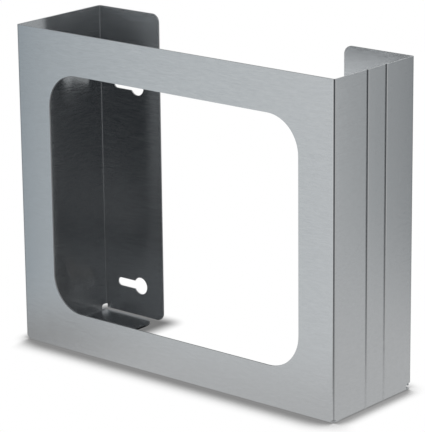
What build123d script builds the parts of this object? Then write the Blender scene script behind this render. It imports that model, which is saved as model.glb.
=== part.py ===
from build123d import *
import os
from math import sqrt

# Wall-hung holder for cartons of disposable gloves, cut and folded from one stainless sheet.
# All sizes are in millimetres. +X is to the right seen from the front, +Y goes back to the
# wall and +Z goes up. The origin is the middle of the footprint, on the underside.

# Overall sizes, over the outer faces
width = 279.4
depth = 85.7
height = 231.0

# Sheet and its bends
sheet = 1.0
inner_bend_radius = 0.8

# Window in the front panel
window_side_margin = 29.5
window_top_margin = 29.5
window_bottom_margin = 29.0
window_corner_radius = 25.4

# Back flanges, which lie against the wall
back_flange_width = 57.15
back_flange_corner_radius = 6.0
back_flange_bottom = 2.5

# Keyholes in the back flanges, measured from the outer face of the side beside them
keyhole_round_diameter = 12.7
keyhole_slot_width = 6.35
keyhole_round_from_side = 35.5
keyhole_seat_from_side = 16.5
lower_keyhole_height = 25.4
keyhole_spacing = 150.0

# Floor: a tab folded in from each side and a lip folded in from the front
side_tab_width = 50.0
side_tab_corner_radius = 12.0
side_tab_from_back = 0.6
front_lip_width = 25.4
front_lip_corner_radius = 4.0
mitre_gap = 1.0

# Round reliefs, which let the bends meet at the two lower front corners without tearing
relief_clearance = 0.15

# Notches at the two lower back corners: the length lies along the side, the width on the flange
back_notch_length = 5.8
back_notch_width = 2.0
back_notch_top = 5.2
back_notch_corner_radius = 1.5
bend_end_from_back = 2.5

# Two creases pressed into the right side over its full height
first_crease_from_front = 34.6
crease_spacing = 20.0
crease_width = 2.2
crease_depth = 1.1
crease_root_radius = 0.3
crease_shoulder_radius = 1.2

# Places that follow from the sizes above
outer_bend_radius = inner_bend_radius + sheet
right = width / 2
left = -right
back = depth / 2
front = -back
window_width = width - 2 * window_side_margin
window_height = height - window_top_margin - window_bottom_margin
window_centre_height = window_bottom_margin + window_height / 2
mitre_shift = mitre_gap / sqrt(2)
relief_radius = sqrt(2) * outer_bend_radius + relief_clearance
first_crease = front + first_crease_from_front
crease_places = (first_crease, first_crease + crease_spacing)


def crease_line(crease_y):
    """The right side's outer face in plan, from one shoulder of a crease to the other."""
    return FilletPolyline(
        (right, crease_y - crease_width),
        (right, crease_y - crease_width / 2),
        (right - crease_depth, crease_y),
        (right, crease_y + crease_width / 2),
        (right, crease_y + crease_width),
        radius=(crease_shoulder_radius, crease_root_radius, crease_shoulder_radius),
    )


def bend_section(section_plane):
    """The sheet's quarter-ring section where a wall turns into the floor.

    The plane's origin is the bend's centre, its X points inwards and its Y points up.
    """
    with BuildSketch(section_plane) as section:
        Circle(outer_bend_radius)
        Circle(inner_bend_radius, mode=Mode.SUBTRACT)
        Rectangle(
            outer_bend_radius,
            outer_bend_radius,
            align=(Align.MAX, Align.MAX),
            mode=Mode.INTERSECT,
        )
    return section.sketch


# Round-ended tool that cuts one relief, with the middle of its round end at the origin
with BuildPart() as relief_tool:
    Sphere(relief_radius, arc_size1=0)
    Cylinder(
        relief_radius, 2 * outer_bend_radius, align=(Align.CENTER, Align.CENTER, Align.MAX)
    )

with BuildPart() as folded_holder:
    # Front panel, sides and back flanges: one strip that runs round the plan
    with BuildSketch(Plane.XY.offset(outer_bend_radius)) as strip_plan:
        with BuildLine() as strip_line:
            FilletPolyline(
                (left + back_flange_width, back),
                (left, back),
                (left, front),
                (right, front),
                (right, back),
                (right - back_flange_width, back),
                radius=outer_bend_radius,
            )
            offset(amount=sheet, side=Side.LEFT)
        make_face()
    extrude(amount=height - outer_bend_radius)

    # Bends from the sides and the front into the floor
    left_bend_plane = Plane(
        origin=(left + outer_bend_radius, back - outer_bend_radius, outer_bend_radius),
        x_dir=(1, 0, 0),
        z_dir=(0, -1, 0),
    )
    left_bend = extrude(bend_section(left_bend_plane), amount=depth - 2 * outer_bend_radius)
    mirror(left_bend, about=Plane.YZ)
    front_bend_plane = Plane(
        origin=(left + outer_bend_radius, front + outer_bend_radius, outer_bend_radius),
        x_dir=(0, 1, 0),
        z_dir=(1, 0, 0),
    )
    extrude(bend_section(front_bend_plane), amount=width - 2 * outer_bend_radius)

    # Flats of the floor, mitred against each other at the two front corners
    with BuildSketch(Plane.XY) as floor_plan:
        with BuildLine() as left_tab_line:
            FilletPolyline(
                (left + outer_bend_radius, back - side_tab_from_back),
                (left + side_tab_width, back - side_tab_from_back),
                (left + side_tab_width, front + side_tab_width + mitre_shift),
                (left + outer_bend_radius, front + outer_bend_radius + mitre_shift),
                radius=(0, side_tab_corner_radius, side_tab_corner_radius, 0),
                close=True,
            )
        make_face()
        mirror(about=Plane.YZ)
        with BuildLine() as front_lip_line:
            FilletPolyline(
                (left + outer_bend_radius + mitre_shift, front + outer_bend_radius),
                (left + front_lip_width + mitre_shift, front + front_lip_width),
                (right - front_lip_width - mitre_shift, front + front_lip_width),
                (right - outer_bend_radius - mitre_shift, front + outer_bend_radius),
                radius=(0, front_lip_corner_radius, front_lip_corner_radius, 0),
                close=True,
            )
        make_face()
    extrude(amount=sheet)

    # Ridges that the creases raise inside the right side, down to the floor
    with BuildSketch(Plane.XY.offset(sheet)) as ridge_plan:
        for crease_y in crease_places:
            with BuildLine() as ridge_line:
                crease_line(crease_y)
                offset(amount=sheet, side=Side.LEFT)
            make_face()
            with Locations((right, crease_y)):
                Rectangle(sheet, 3 * crease_width, mode=Mode.SUBTRACT)
    extrude(amount=height - sheet)

    # Grooves outside them, which run out through the bend below
    with BuildSketch(Plane.XY) as groove_plan:
        for crease_y in crease_places:
            with BuildLine() as groove_line:
                groove = crease_line(crease_y)
                Polyline(
                    groove @ 0,
                    (right + crease_depth, crease_y - crease_width),
                    (right + crease_depth, crease_y + crease_width),
                    groove @ 1,
                )
            make_face()
    extrude(amount=height, mode=Mode.SUBTRACT)

    # Reliefs at the two lower front corners
    with Locations((left, front, outer_bend_radius), (right, front, outer_bend_radius)):
        add(relief_tool.part, mode=Mode.SUBTRACT)

    # Notches at the two lower back corners, which also end the bends of the side tabs
    with BuildSketch(Plane.YZ.offset(left)) as back_notch:
        with BuildLine() as back_notch_line:
            FilletPolyline(
                (back, 0),
                (back, back_notch_top),
                (back - back_notch_length, back_notch_top),
                (back - back_notch_length, outer_bend_radius),
                (back - bend_end_from_back, outer_bend_radius),
                (back - bend_end_from_back, 0),
                radius=(0, 0, back_notch_corner_radius, 0, 0, 0),
                close=True,
            )
        make_face()
    left_notch = extrude(amount=back_notch_width, mode=Mode.SUBTRACT)
    mirror(left_notch, about=Plane.YZ, mode=Mode.SUBTRACT)

    # Gaps that keep the back flanges clear of the floor
    with BuildSketch(Plane.XZ.offset(-back)) as flange_gap:
        with Locations((0, sheet)):
            Rectangle(width, back_flange_bottom - sheet, align=(Align.CENTER, Align.MIN))
    extrude(amount=sheet, mode=Mode.SUBTRACT)

    # Window
    with BuildSketch(Plane.XZ.offset(-front)) as window:
        with Locations((0, window_centre_height)):
            RectangleRounded(window_width, window_height, window_corner_radius)
    extrude(amount=-2 * sheet, mode=Mode.SUBTRACT)

    # Keyholes, with their narrow ends towards the sides
    with BuildSketch(Plane.XZ.offset(-back)) as keyholes:
        for keyhole_height in (lower_keyhole_height, lower_keyhole_height + keyhole_spacing):
            with Locations((left + keyhole_round_from_side, keyhole_height)):
                Circle(keyhole_round_diameter / 2)
            slot_centre = left + (keyhole_round_from_side + keyhole_seat_from_side) / 2
            with Locations((slot_centre, keyhole_height)):
                SlotCenterToCenter(
                    keyhole_round_from_side - keyhole_seat_from_side, keyhole_slot_width
                )
        mirror(about=Plane.YZ)
    extrude(amount=2 * sheet, mode=Mode.SUBTRACT)

    # Round the free corners of the back flanges
    inner_edge = right - back_flange_width
    free_corners = (
        folded_holder.edges()
        .filter_by(Axis.Y)
        .filter_by(lambda edge: abs(abs(edge.center().X) - inner_edge) < sheet / 4)
        .filter_by(lambda edge: edge.center().Y > back - sheet)
    )
    fillet(free_corners, back_flange_corner_radius)

folded_holder.part.label = "folded_holder"

os.makedirs("parts", exist_ok=True)
export_step(folded_holder.part, "parts/folded_holder.step")
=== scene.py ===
"""A wall-hung holder for cartons of disposable gloves, folded from one sheet of brushed stainless steel.

Lengths are in metres: +X to the right seen from the front, +Y back to the wall, +Z up. The holder
stands on its floor tabs at Z = 0, with the origin in the middle of its footprint.
"""

import logging
import math
from dataclasses import dataclass, field
from enum import Enum

import bpy
from mathutils import Matrix, Vector


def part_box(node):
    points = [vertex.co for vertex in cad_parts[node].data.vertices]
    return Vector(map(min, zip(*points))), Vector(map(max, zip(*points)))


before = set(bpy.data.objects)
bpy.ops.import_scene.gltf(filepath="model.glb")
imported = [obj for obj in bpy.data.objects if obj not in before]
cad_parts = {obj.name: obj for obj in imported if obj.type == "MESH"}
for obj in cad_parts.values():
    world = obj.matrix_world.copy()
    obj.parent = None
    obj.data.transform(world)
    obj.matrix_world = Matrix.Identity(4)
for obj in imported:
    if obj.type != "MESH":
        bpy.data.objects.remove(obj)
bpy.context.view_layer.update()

log = logging.getLogger("glove_holder")

MM = 0.001
HALF_TURN = 180.0
WHITE = (1.0, 1.0, 1.0)
NOWHERE = (0.0, 0.0, 0.0)

Colour = tuple[float, float, float]
Place = tuple[float, float, float]
Edge = tuple[float, float]
Socket = bpy.types.NodeSocket
Masks = dict[str, bpy.types.NodeSocket]


def opaque(colour: Colour, level: float = 1.0) -> tuple[float, ...]:
    """Scale a colour by a level and add the fourth part that a socket takes."""
    return (*(min(1.0, level * part) for part in colour), 1.0)


class Mixed(Enum):
    """What a Mix node mixes, with the places of its two inputs and of its result."""

    NUMBER = ("FLOAT", 2, 3, 0)
    VECTOR = ("VECTOR", 4, 5, 1)
    COLOUR = ("RGBA", 6, 7, 2)


class Wiring:
    """Adds nodes to one tree and links them, so that a finish reads as a list of steps."""

    def __init__(self, owner: bpy.types.Material | bpy.types.World) -> None:
        """Empty a node tree, to fill it anew.

        Args:
            owner: The material or the world that the tree belongs to.
        """
        owner.use_nodes = True
        self.tree = owner.node_tree
        self.tree.nodes.clear()

    def add(self, kind: str, settings: dict | None = None, inputs: dict | None = None) -> bpy.types.Node:
        """Add one node.

        Args:
            kind: The node's type name.
            settings: Properties of the node, by name.
            inputs: Values or sockets for its inputs, by socket name or place.

        Returns:
            The new node.
        """
        node = self.tree.nodes.new(kind)
        for name, value in (settings or {}).items():
            setattr(node, name, value)
        for name, value in (inputs or {}).items():
            self.feed(node.inputs[name], value)
        return node

    def feed(self, socket: Socket, value: object) -> None:
        """Link a socket into another one, or set a plain value on it.

        Args:
            socket: The input to fill.
            value: A socket to link from, or a value to set.
        """
        if isinstance(value, bpy.types.NodeSocket):
            self.tree.links.new(value, socket)
        else:
            socket.default_value = value

    def sum(self, operation: str, *values: object) -> Socket:
        """Work out one number.

        Args:
            operation: The Math node's operation.
            values: Its inputs, in order.

        Returns:
            The result's socket.
        """
        return self.add("ShaderNodeMath", {"operation": operation}, dict(enumerate(values))).outputs[0]

    def vector(self, operation: str, *values: object) -> Socket:
        """Work out one vector.

        Args:
            operation: The Vector Math node's operation.
            values: Its inputs, in order.

        Returns:
            The result's socket.
        """
        return self.add("ShaderNodeVectorMath", {"operation": operation}, dict(enumerate(values))).outputs[0]

    def split(self, vector: Socket) -> bpy.types.NodeOutputs:
        """Take a vector apart into its X, Y and Z."""
        return self.add("ShaderNodeSeparateXYZ", None, {0: vector}).outputs

    def turn(self, across: object, along: object) -> Socket:
        """Give the angle of a point in plan, in radians, from its Y and its X."""
        return self.sum("ARCTAN2", across, along)

    def gap(self, place: Socket, centre: Place, half: Place) -> Socket:
        """Measure how far a place lies outside a box.

        Args:
            place: The place's socket.
            centre: The middle of the box.
            half: Half of the box's sizes.

        Returns:
            The distance's socket, which is 0 inside the box.
        """
        offset = self.vector("ABSOLUTE", self.vector("SUBTRACT", place, centre))
        outside = self.vector("MAXIMUM", self.vector("SUBTRACT", offset, half), NOWHERE)
        return self.add("ShaderNodeVectorMath", {"operation": "LENGTH"}, {0: outside}).outputs["Value"]

    def step(self, value: Socket, start: float, end: float) -> Socket:
        """Turn a number into a mask that goes smoothly from 0 at start to 1 at end.

        Args:
            value: The number's socket.
            start: Where the mask is 0.
            end: Where the mask is 1, which may be below start.

        Returns:
            The mask's socket.
        """
        if start > end:
            return self.sum("SUBTRACT", 1.0, self.step(value, end, start))
        limits = {"Value": value, "From Min": start, "From Max": end, "To Min": 0.0, "To Max": 1.0}
        return self.add("ShaderNodeMapRange", {"interpolation_type": "SMOOTHSTEP"}, limits).outputs[0]

    def between(self, value: Socket, rise: Edge, fall: Edge) -> Socket:
        """Turn a number into a mask that is 1 between two soft edges.

        Args:
            value: The number's socket.
            rise: Where the mask starts to rise and where it is 1.
            fall: Where the mask is 0 again and where it is still 1.

        Returns:
            The mask's socket.
        """
        return self.sum("MULTIPLY", self.step(value, *rise), self.step(value, *fall))

    def blend(self, amount: object, first: object, second: object, kind: Mixed = Mixed.NUMBER) -> Socket:
        """Mix two numbers, vectors or colours.

        Args:
            amount: 0 for the first and 1 for the second.
            first: What is there at 0.
            second: What is there at 1.
            kind: What they are.

        Returns:
            The result's socket.
        """
        data_type, first_place, second_place, result_place = kind.value
        inputs = {0: amount, first_place: first, second_place: second}
        return self.add("ShaderNodeMix", {"data_type": data_type}, inputs).outputs[result_place]

    def layer(self, amount: Socket, below: Socket, above: Socket) -> Socket:
        """Mix two shaders, from the one below at 0 to the one above at 1."""
        return self.add("ShaderNodeMixShader", None, {0: amount, 1: below, 2: above}).outputs[0]

    def shine(self, kind: str, colour: object, strength: object = 1.0) -> Socket:
        """Add a shader that gives light of its own: an emission or a background."""
        return self.add(kind, None, {"Color": colour, "Strength": strength}).outputs[0]


class Grain(Enum):
    """Which way the brushed grain runs on the folded sheet, with the direction across it."""

    ROUND_THE_WALLS = (0.0, 0.0, 1.0)
    ALONG_THE_SIDE_TABS = (1.0, 0.0, 0.0)
    ALONG_THE_FRONT_LIP = (0.0, 1.0, 0.0)

    @staticmethod
    def pick(wires: Wiring, masks: Masks, choices: dict["Grain", object]) -> Socket:
        """Pick the vector that belongs to the grain's way at each place.

        Args:
            wires: The tree to build in.
            masks: The sheet's masks.
            choices: A vector for each way of the grain.

        Returns:
            The picked vector's socket.
        """
        tabs, lip = choices[Grain.ALONG_THE_SIDE_TABS], choices[Grain.ALONG_THE_FRONT_LIP]
        floor = wires.blend(masks["lip"], tabs, lip, Mixed.VECTOR)
        return wires.blend(masks["floor"], choices[Grain.ROUND_THE_WALLS], floor, Mixed.VECTOR)


@dataclass(frozen=True)
class Brushing:
    """One set of fine lines that the brush leaves: their width and length, and how finely they break up."""

    width: float
    length: float
    layers: float
    breakup: float = 0.6

    def lines(self, wires: Wiring, place: Socket, masks: Masks) -> Socket:
        """Draw out a noise into lines along the grain.

        Args:
            wires: The tree to build in.
            place: The object coordinates.
            masks: The sheet's masks.

        Returns:
            The noise's socket, from 0 to 1.
        """
        drawn = {}
        for grain in Grain:
            scale = tuple(1 / self.width if across else 1 / self.length for across in grain.value)
            drawn[grain] = wires.vector("MULTIPLY", place, scale)
        along = Grain.pick(wires, masks, drawn)
        inputs = {"Vector": along, "Scale": 1.0, "Detail": self.layers, "Roughness": self.breakup}
        return wires.add("ShaderNodeTexNoise", None, inputs).outputs[0]


@dataclass(frozen=True)
class SheetPlaces:
    """Where the faces, bends and cut edges of the folded sheet lie.

    The floor's finish starts at floor_share of the bend radius. The cut top edge reaches down by rim,
    and slack widens the sheet's thickness a little. A cut edge's normal leans towards the axis across
    the sheet by less than edge_on. The roll beside a bend fades out over roll_width.
    """

    half_width: float
    half_depth: float
    height: float
    sheet: float = 1.0 * MM
    outer_radius: float = 1.8 * MM
    floor_share: float = 0.6
    rim: float = 0.05 * MM
    slack: float = 1.02
    edge_on: float = 0.3
    roll_width: float = 18 * MM

    def masks(self, wires: Wiring, place: Socket, normal: Socket) -> Masks:
        """Tell the kinds of surface apart by place and by the way they face.

        Args:
            wires: The tree to build in.
            place: The object coordinates.
            normal: The surface normal.

        Returns:
            Masks from 0 to 1 by name: floor, lip, bend, cut and roll, the last fading out from each bend.
        """
        at = wires.split(place)
        way = wires.split(normal)
        from_side = wires.sum("SUBTRACT", self.half_width, wires.sum("ABSOLUTE", at[0]))
        from_front = wires.sum("ADD", at[1], self.half_depth)
        from_end = wires.sum("SUBTRACT", self.half_depth, wires.sum("ABSOLUTE", at[1]))
        edge_on = [wires.sum("LESS_THAN", wires.sum("ABSOLUTE", part), self.edge_on) for part in way]

        floor_start = self.outer_radius * self.floor_share
        low = wires.sum("LESS_THAN", at[2], floor_start)
        off_wall = wires.sum("GREATER_THAN", wires.sum("MINIMUM", from_side, from_front), floor_start)
        floor = wires.sum("MULTIPLY", low, off_wall)
        lip = wires.sum("GREATER_THAN", from_side, from_front)

        in_side_bend = wires.sum("LESS_THAN", from_side, self.outer_radius)
        in_end_bend = wires.sum("LESS_THAN", from_end, self.outer_radius)
        bend = wires.sum("MULTIPLY", in_side_bend, in_end_bend)

        on_top = wires.sum("GREATER_THAN", at[2], self.height - self.rim)
        on_end = wires.sum("LESS_THAN", from_end, self.sheet * self.slack)
        on_side = wires.sum("LESS_THAN", from_side, self.sheet * self.slack)
        end_cut = wires.sum("MULTIPLY", on_end, edge_on[1])
        end_cut = wires.sum("MULTIPLY", end_cut, wires.sum("GREATER_THAN", from_side, self.outer_radius))
        side_cut = wires.sum("MULTIPLY", on_side, edge_on[0])
        side_cut = wires.sum("MULTIPLY", side_cut, wires.sum("GREATER_THAN", from_end, self.outer_radius))
        floor_cut = wires.sum("MULTIPLY", floor, edge_on[2])
        wall_cut = wires.sum("MAXIMUM", end_cut, side_cut)
        cut = wires.sum("MAXIMUM", wall_cut, wires.sum("MAXIMUM", floor_cut, on_top))

        to_bend = wires.sum("MAXIMUM", from_side, from_end)
        roll = wires.sum("EXPONENT", wires.sum("DIVIDE", to_bend, -self.roll_width))
        return {"floor": floor, "lip": lip, "bend": bend, "cut": cut, "roll": roll}


@dataclass(frozen=True)
class BrushedStainless:
    """Satin stainless sheet with a fine directional grain, bare cut edges and lightly rubbed bends.

    The brush leaves scratches with smoother plateaus between them. Bends are rubbed smoother, cut
    edges are rougher and darker, wide clouds vary the gloss a little, and the sheet rolls slightly
    towards each bend.
    """

    colour: Colour = (0.60, 0.61, 0.62)
    shade_spread: float = 0.08
    grain: Brushing = Brushing(width=0.14 * MM, length=9 * MM, layers=3.0)
    streaks: Brushing = Brushing(width=1.1 * MM, length=5 * MM, layers=2.0)
    grain_share: float = 0.35
    roughness: float = 0.26
    plateau_roughness: float = 0.12
    scratch_edge: Edge = (0.38, 0.62)
    anisotropy: float = 1.0
    cloud_size: float = 70 * MM
    cloud_layers: float = 2.0
    cloud_roughness: float = 0.02
    bend_polish: float = 0.05
    cut_drag: float = 0.12
    cut_level: float = 0.80
    cut_cover: float = 0.6
    roll_height: float = -0.2 * MM

    def material(self, sheet: SheetPlaces) -> bpy.types.Material:
        """Build the finish.

        Args:
            sheet: Where the holder's faces and bends lie.

        Returns:
            The material.
        """
        made = bpy.data.materials.new("brushed_stainless")
        wires = Wiring(made)
        place = wires.add("ShaderNodeTexCoord").outputs["Object"]
        normal = wires.add("ShaderNodeNewGeometry").outputs["Normal"]
        masks = sheet.masks(wires, place, normal)
        grain = self.grain.lines(wires, place, masks)
        streaks = self.streaks.lines(wires, place, masks)

        shader = wires.add("ShaderNodeBsdfPrincipled")
        shader.inputs["Metallic"].default_value = 1.0
        shader.inputs["Anisotropic"].default_value = self.anisotropy
        across = {way: way.value for way in Grain}
        wires.feed(shader.inputs["Tangent"], Grain.pick(wires, masks, across))
        wires.feed(shader.inputs["Base Color"], self.base(wires, masks, grain, streaks))
        wires.feed(shader.inputs["Roughness"], self.gloss(wires, masks, grain, place))
        roll = {"Height": masks["roll"], "Strength": 1.0, "Distance": self.roll_height}
        wires.feed(shader.inputs["Normal"], wires.add("ShaderNodeBump", None, roll).outputs[0])
        wires.add("ShaderNodeOutputMaterial", None, {"Surface": shader.outputs[0]})
        return made

    def base(self, wires: Wiring, masks: Masks, grain: Socket, streaks: Socket) -> Socket:
        """Shade the metal along its grain and darken the cut edges.

        Args:
            wires: The tree to build in.
            masks: The sheet's masks.
            grain: The fine lines.
            streaks: The wider lines.

        Returns:
            The colour's socket.
        """
        dark = opaque(self.colour, 1 - self.shade_spread)
        light = opaque(self.colour, 1 + self.shade_spread)
        shading = wires.blend(self.grain_share, streaks, grain)
        faces = wires.blend(shading, dark, light, Mixed.COLOUR)
        cut = wires.sum("MULTIPLY", masks["cut"], self.cut_cover)
        return wires.blend(cut, faces, opaque(self.colour, self.cut_level), Mixed.COLOUR)

    def gloss(self, wires: Wiring, masks: Masks, grain: Socket, place: Socket) -> Socket:
        """Give scratches, plateaus, bends and cut edges their own roughness.

        Args:
            wires: The tree to build in.
            masks: The sheet's masks.
            grain: The fine lines.
            place: The object coordinates.

        Returns:
            The roughness's socket.
        """
        inputs = {"Vector": place, "Scale": 1 / self.cloud_size, "Detail": self.cloud_layers}
        clouds = wires.add("ShaderNodeTexNoise", None, inputs).outputs[0]
        scratched = wires.step(grain, *self.scratch_edge)
        rough = wires.blend(scratched, self.plateau_roughness, self.roughness)
        rough = wires.sum("ADD", rough, wires.blend(clouds, -self.cloud_roughness, self.cloud_roughness))
        rough = wires.blend(masks["bend"], rough, self.roughness - self.bend_polish)
        return wires.blend(masks["cut"], rough, self.roughness + self.cut_drag)


@dataclass
class FoldedHolder:
    """The holder itself: one blank, cut out and folded, with two creases pressed into its right side."""

    node: str = "folded_holder"
    slot: str = "stainless"
    finish: BrushedStainless = field(default_factory=BrushedStainless)

    def dress(self) -> bpy.types.Object:
        """Give the folded sheet its finish.

        Returns:
            The dressed object.
        """
        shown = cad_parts[self.node]
        low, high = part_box(self.node)
        places = SheetPlaces((high.x - low.x) / 2, (high.y - low.y) / 2, high.z)
        material = self.finish.material(places)
        shown.data.materials.clear()
        shown.data.materials.append(material)
        return shown


@dataclass(frozen=True)
class Surround:
    """Pale walls round the table, which give the metal its light and dark bands.

    Each wall has its turn about the holder in degrees, from +X towards +Y, and its brightness.
    """

    walls: tuple[tuple[float, Colour], ...] = (
        # Grey wall at the left
        (-180, (0.40, 0.42, 0.44)),
        (-150, (0.28, 0.31, 0.33)),
        (-140, (0.30, 0.35, 0.39)),
        # Bright screen at the front left, with a bluish near edge
        (-136, (0.41, 0.47, 0.51)),
        (-133, (0.71, 0.75, 0.77)),
        (-130, (0.81, 0.84, 0.85)),
        (-127, (0.80, 0.82, 0.83)),
        (-105, (0.92, 0.93, 0.93)),
        (-82, (0.50, 0.51, 0.52)),
        # Dark part of the room round the camera
        (-68, (0.05, 0.055, 0.06)),
        (-50, (0.04, 0.045, 0.05)),
        (-34, (0.06, 0.065, 0.07)),
        # Pale wall at the right
        (-15, (0.40, 0.41, 0.42)),
        (5, (0.66, 0.66, 0.66)),
        (32, (0.62, 0.62, 0.62)),
        # Bright strip at the back right
        (44, (0.48, 0.50, 0.51)),
        (50, (0.68, 0.70, 0.705)),
        (57, (0.27, 0.285, 0.295)),
        # Grey wall behind, a little paler in its middle
        (75, (0.30, 0.31, 0.32)),
        (95, (0.50, 0.51, 0.52)),
        (120, (0.30, 0.31, 0.32)),
        (180, (0.40, 0.42, 0.44)),
    )
    ceiling: Colour = (0.45, 0.455, 0.46)
    ceiling_edge: Edge = (0.45, 0.90)

    def hang(self) -> None:
        """Set the surround up as the world, white where the camera sees it."""
        world = bpy.data.worlds.new("studio_surround")
        bpy.context.scene.world = world
        wires = Wiring(world)
        direction = wires.split(wires.add("ShaderNodeTexCoord").outputs["Generated"])
        turn = wires.sum("DIVIDE", wires.turn(direction[1], direction[0]), 2 * math.pi)
        ring = wires.add("ShaderNodeValToRGB", None, {0: wires.sum("ADD", turn, 0.5)})
        self.fill(ring.color_ramp)
        overhead = wires.step(direction[2], *self.ceiling_edge)
        glow = wires.blend(overhead, ring.outputs[0], opaque(self.ceiling), Mixed.COLOUR)
        light = wires.shine("ShaderNodeBackground", glow)
        white = wires.shine("ShaderNodeBackground", opaque(WHITE))
        seen = wires.add("ShaderNodeLightPath").outputs["Is Camera Ray"]
        wires.add("ShaderNodeOutputWorld", None, {"Surface": wires.layer(seen, light, white)})

    def fill(self, ramp: bpy.types.ColorRamp) -> None:
        """Put the walls on a ramp, whose first two marks are there already.

        Args:
            ramp: The ramp, from half a turn back to half a turn on.
        """
        for number, (angle, colour) in enumerate(self.walls):
            spot = (angle + HALF_TURN) / (2 * HALF_TURN)
            mark = ramp.elements[number] if number < 2 else ramp.elements.new(spot)
            mark.position = spot
            mark.color = opaque(colour)


@dataclass(frozen=True)
class FloorShadow:
    """The soft shadow round the holder's foot, as the camera sees it.

    It reaches further in front than at the sides, and it is darkest under the left tab. It rises from
    its darkest value over a narrow core and then over a wide fade.
    """

    front_reach: float = 25 * MM
    side_reach: float = 14 * MM
    left_share: float = 0.85
    front_edge: Edge = (-0.036, -0.050)
    left_edge: Edge = (-0.132, -0.142)
    samples: int = 16
    darkest: float = 0.12
    core_edge: Edge = (0.30, 0.50)
    core_rise: float = 0.09
    fade_edge: Edge = (0.56, 1.0)
    fade_rise: float = 0.79
    lift_aside: float = 0.15
    tab_centre: Place = (-0.113, 0.020, 0.0)
    tab_half: Place = (0.027, 0.024, 0.0)
    tab_fade: float = 18 * MM
    tab_dark: float = 0.19

    def shade(self, wires: Wiring, place: Socket) -> Socket:
        """Work out how light the floor is.

        Args:
            wires: The tree to build in.
            place: The floor's coordinates.

        Returns:
            The shadow's socket, from dark to 1.
        """
        at = wires.split(place)
        in_front = wires.step(at[1], *self.front_edge)
        at_left = wires.step(at[0], *self.left_edge)
        reach = wires.blend(in_front, self.side_reach, self.front_reach)
        reach = wires.blend(at_left, reach, self.side_reach * self.left_share)
        settings = {"samples": self.samples, "only_local": False}
        open_sky = wires.add("ShaderNodeAmbientOcclusion", settings, {"Distance": reach}).outputs["AO"]
        core = wires.step(open_sky, *self.core_edge)
        fade = wires.step(open_sky, *self.fade_edge)
        contact = wires.sum("MULTIPLY_ADD", core, self.core_rise, self.darkest)
        contact = wires.sum("MULTIPLY_ADD", fade, self.fade_rise, contact)
        aside = wires.sum("SUBTRACT", 1.0, in_front)
        contact = wires.blend(wires.sum("MULTIPLY", aside, self.lift_aside), contact, 1.0)
        off_tab = wires.step(wires.gap(place, self.tab_centre, self.tab_half), 0.0, self.tab_fade)
        return wires.sum("MINIMUM", contact, wires.blend(off_tab, self.tab_dark, 1.0))


@dataclass(frozen=True)
class FloorGlow:
    """The pale patch of floor that the polished metal mirrors: a painted glow, with painted shade in it.

    Turns are in radians: those of the back sector are taken about the middle of the footprint, those
    of the front and the corner sectors about its front right corner.
    """

    colour: Colour = (0.655, 0.66, 0.66)
    footprint: Place = (0.14, 0.043, 0.0)
    fade: Edge = (1.0, 0.1)
    near_reach: float = 0.13
    right_reach: float = 0.45
    right_edge: Edge = (0.10, 0.19)
    back_reach: float = 1.4
    back_rise: Edge = (0.94, 1.03)
    back_fall: Edge = (2.4, 2.2)
    left_level: float = 0.63
    left_edge: Edge = (-0.16, -0.02)
    inner_level: float = 0.16
    inner_front: Edge = (-0.044, -0.03)
    inner_right: Edge = (0.142, 0.137)
    front_level: float = 0.12
    front_rise: Edge = (-2.29, -2.10)
    front_fall: Edge = (-0.90, -1.20)
    front_start: Edge = (0.04, 0.10)
    corner_level: float = 0.6
    corner_rise: Edge = (-1.20, -0.95)
    corner_fall: Edge = (-0.05, -0.35)

    def patch(self, wires: Wiring, place: Socket) -> Socket:
        """Build the patch, which fades out into the surround.

        Args:
            wires: The tree to build in.
            place: The floor's coordinates.

        Returns:
            The patch's shader socket.
        """
        at = wires.split(place)
        apart = wires.gap(place, NOWHERE, self.footprint)
        to_back = wires.between(wires.turn(at[1], at[0]), self.back_rise, self.back_fall)
        reach = wires.blend(wires.step(at[0], *self.right_edge), self.near_reach, self.right_reach)
        reach = wires.blend(to_back, reach, self.back_reach)
        near = wires.step(wires.sum("DIVIDE", apart, reach), *self.fade)
        glow = wires.shine("ShaderNodeEmission", opaque(self.colour), self.level(wires, at, apart, to_back))
        return wires.layer(near, wires.add("ShaderNodeBsdfTransparent").outputs[0], glow)

    def level(self, wires: Wiring, at: bpy.types.NodeOutputs, apart: Socket, to_back: Socket) -> Socket:
        """Work out how bright the patch is from place to place.

        Args:
            wires: The tree to build in.
            at: The floor's coordinates, one by one.
            apart: The distance to the footprint.
            to_back: The mask of the sector behind the holder.

        Returns:
            The brightness's socket.
        """
        half_width, half_depth, _ = self.footprint
        from_corner = (wires.sum("ADD", at[1], half_depth), wires.sum("SUBTRACT", at[0], half_width))
        turn = wires.turn(*from_corner)
        off_front = wires.step(at[1], *self.inner_front)
        off_right = wires.step(at[0], *self.inner_right)
        inside = wires.sum("MAXIMUM", wires.sum("MULTIPLY", off_front, off_right), to_back)
        front = wires.between(turn, self.front_rise, self.front_fall)
        front = wires.sum("MULTIPLY", front, wires.step(apart, *self.front_start))
        corner = wires.between(turn, self.corner_rise, self.corner_fall)
        level = wires.blend(wires.step(at[0], *self.left_edge), self.left_level, 1.0)
        # Painted shade in the glow: inside and behind the footprint, in a sector in front and at the front
        # right corner.
        shades = ((inside, self.inner_level), (front, self.front_level), (corner, self.corner_level))
        for mask, shade in shades:
            level = wires.sum("MULTIPLY", level, wires.blend(mask, 1.0, shade))
        return level


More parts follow.
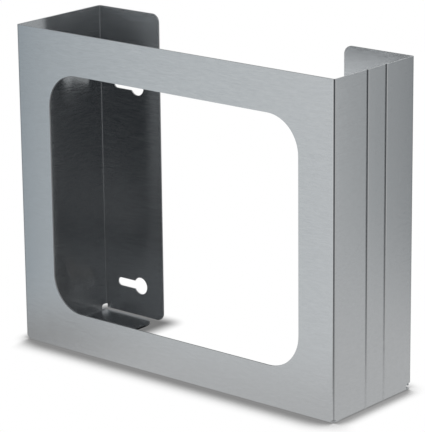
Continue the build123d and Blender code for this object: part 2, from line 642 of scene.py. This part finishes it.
@dataclass
class Floor:
    """The plain floor, just below the holder's foot: white to the camera but for the shadow."""

    size: float = 14.0
    drop: float = 0.02 * MM
    colour: Colour = (0.8, 0.8, 0.8)
    shadow: FloorShadow = field(default_factory=FloorShadow)
    glow: FloorGlow = field(default_factory=FloorGlow)

    def lay(self) -> bpy.types.Object:
        """Lay the floor.

        Returns:
            The floor.
        """
        half = self.size / 2
        mesh = bpy.data.meshes.new("studio_floor")
        corners = [(-half, -half, 0.0), (half, -half, 0.0), (half, half, 0.0), (-half, half, 0.0)]
        mesh.from_pydata(corners, [], [(0, 1, 2, 3)])
        floor = bpy.data.objects.new("studio_floor", mesh)
        bpy.context.scene.collection.objects.link(floor)
        floor.location.z = -self.drop
        mesh.materials.append(self.paint())
        return floor

    def paint(self) -> bpy.types.Material:
        """Build the floor's paint.

        Returns:
            The material.
        """
        paint = bpy.data.materials.new("studio_floor")
        wires = Wiring(paint)
        place = wires.add("ShaderNodeTexCoord").outputs["Object"]
        to_camera = wires.shine("ShaderNodeEmission", self.shadow.shade(wires, place))
        to_metal = self.glow.patch(wires, place)
        plain = wires.add("ShaderNodeBsdfDiffuse", None, {"Color": opaque(self.colour)}).outputs[0]
        path = wires.add("ShaderNodeLightPath").outputs
        unseen = wires.layer(path["Is Glossy Ray"], plain, to_metal)
        whole = wires.layer(path["Is Camera Ray"], unseen, to_camera)
        wires.add("ShaderNodeOutputMaterial", None, {"Surface": whole})
        return paint


@dataclass
class Lamp:
    """The soft lamp over the table."""

    size: float = 1.3
    power: float = 9.0
    location: Place = (-0.2, 0.3, 1.5)

    def hang(self) -> bpy.types.Object:
        """Hang the lamp, which shines straight down.

        Returns:
            The lamp.
        """
        data = bpy.data.lights.new("overhead_softbox", "AREA")
        data.shape = "SQUARE"
        data.size = self.size
        data.energy = self.power
        lamp = bpy.data.objects.new("overhead_softbox", data)
        bpy.context.scene.collection.objects.link(lamp)
        lamp.location = self.location
        return lamp


@dataclass
class Studio:
    """A pale floor, soft light from above and a bright surround that is darker on the camera's side."""

    surround: Surround = field(default_factory=Surround)
    floor: Floor = field(default_factory=Floor)
    lamp: Lamp = field(default_factory=Lamp)

    def build(self) -> list[bpy.types.Object]:
        """Make the surround, the floor and the lamp.

        Returns:
            The floor and the lamp.
        """
        bpy.context.scene.view_settings.view_transform = "Standard"
        self.surround.hang()
        return [self.floor.lay(), self.lamp.hang()]


@dataclass
class PhotoCamera:
    """The camera at the photograph's viewing angle, with its turns in degrees and its lens in millimetres."""

    location: Place = (1.0878, -1.2807, 0.5928)
    yaw: float = 40.311
    pitch: float = -16.122
    roll: float = -0.642
    lens: float = 211.78
    sensor: float = 36.0
    nearest: float = 0.05

    def place(self) -> bpy.types.Object:
        """Set up the camera.

        Returns:
            The camera.
        """
        yaw, pitch, roll = (math.radians(angle) for angle in (self.yaw, self.pitch, self.roll))
        level_share = math.cos(pitch)
        forward = Vector((-math.sin(yaw) * level_share, math.cos(yaw) * level_share, math.sin(pitch)))
        level = forward.cross(Vector((0.0, 0.0, 1.0))).normalized()
        upright = level.cross(forward)
        right = math.cos(roll) * level + math.sin(roll) * upright
        up = -math.sin(roll) * level + math.cos(roll) * upright
        turn = Matrix((right, up, -forward)).transposed()
        data = bpy.data.cameras.new("photo_camera")
        data.lens = self.lens
        data.sensor_width = self.sensor
        data.sensor_height = self.sensor
        data.clip_start = self.nearest
        camera = bpy.data.objects.new("photo_camera", data)
        bpy.context.scene.collection.objects.link(camera)
        camera.matrix_world = Matrix.Translation(self.location) @ turn.to_4x4()
        bpy.context.scene.camera = camera
        return camera


def main() -> None:
    """Build the camera, the studio and the holder, and report each piece."""
    logging.basicConfig(level=logging.INFO, format="%(message)s")
    camera = PhotoCamera().place()
    log.info("camera %s", camera.name)
    for piece in Studio().build():
        log.info("stage %s", piece.name)
    holder = FoldedHolder().dress()
    log.info("piece %s with %d faces", holder.name, len(holder.data.polygons))


if __name__ == "__main__":
    main()
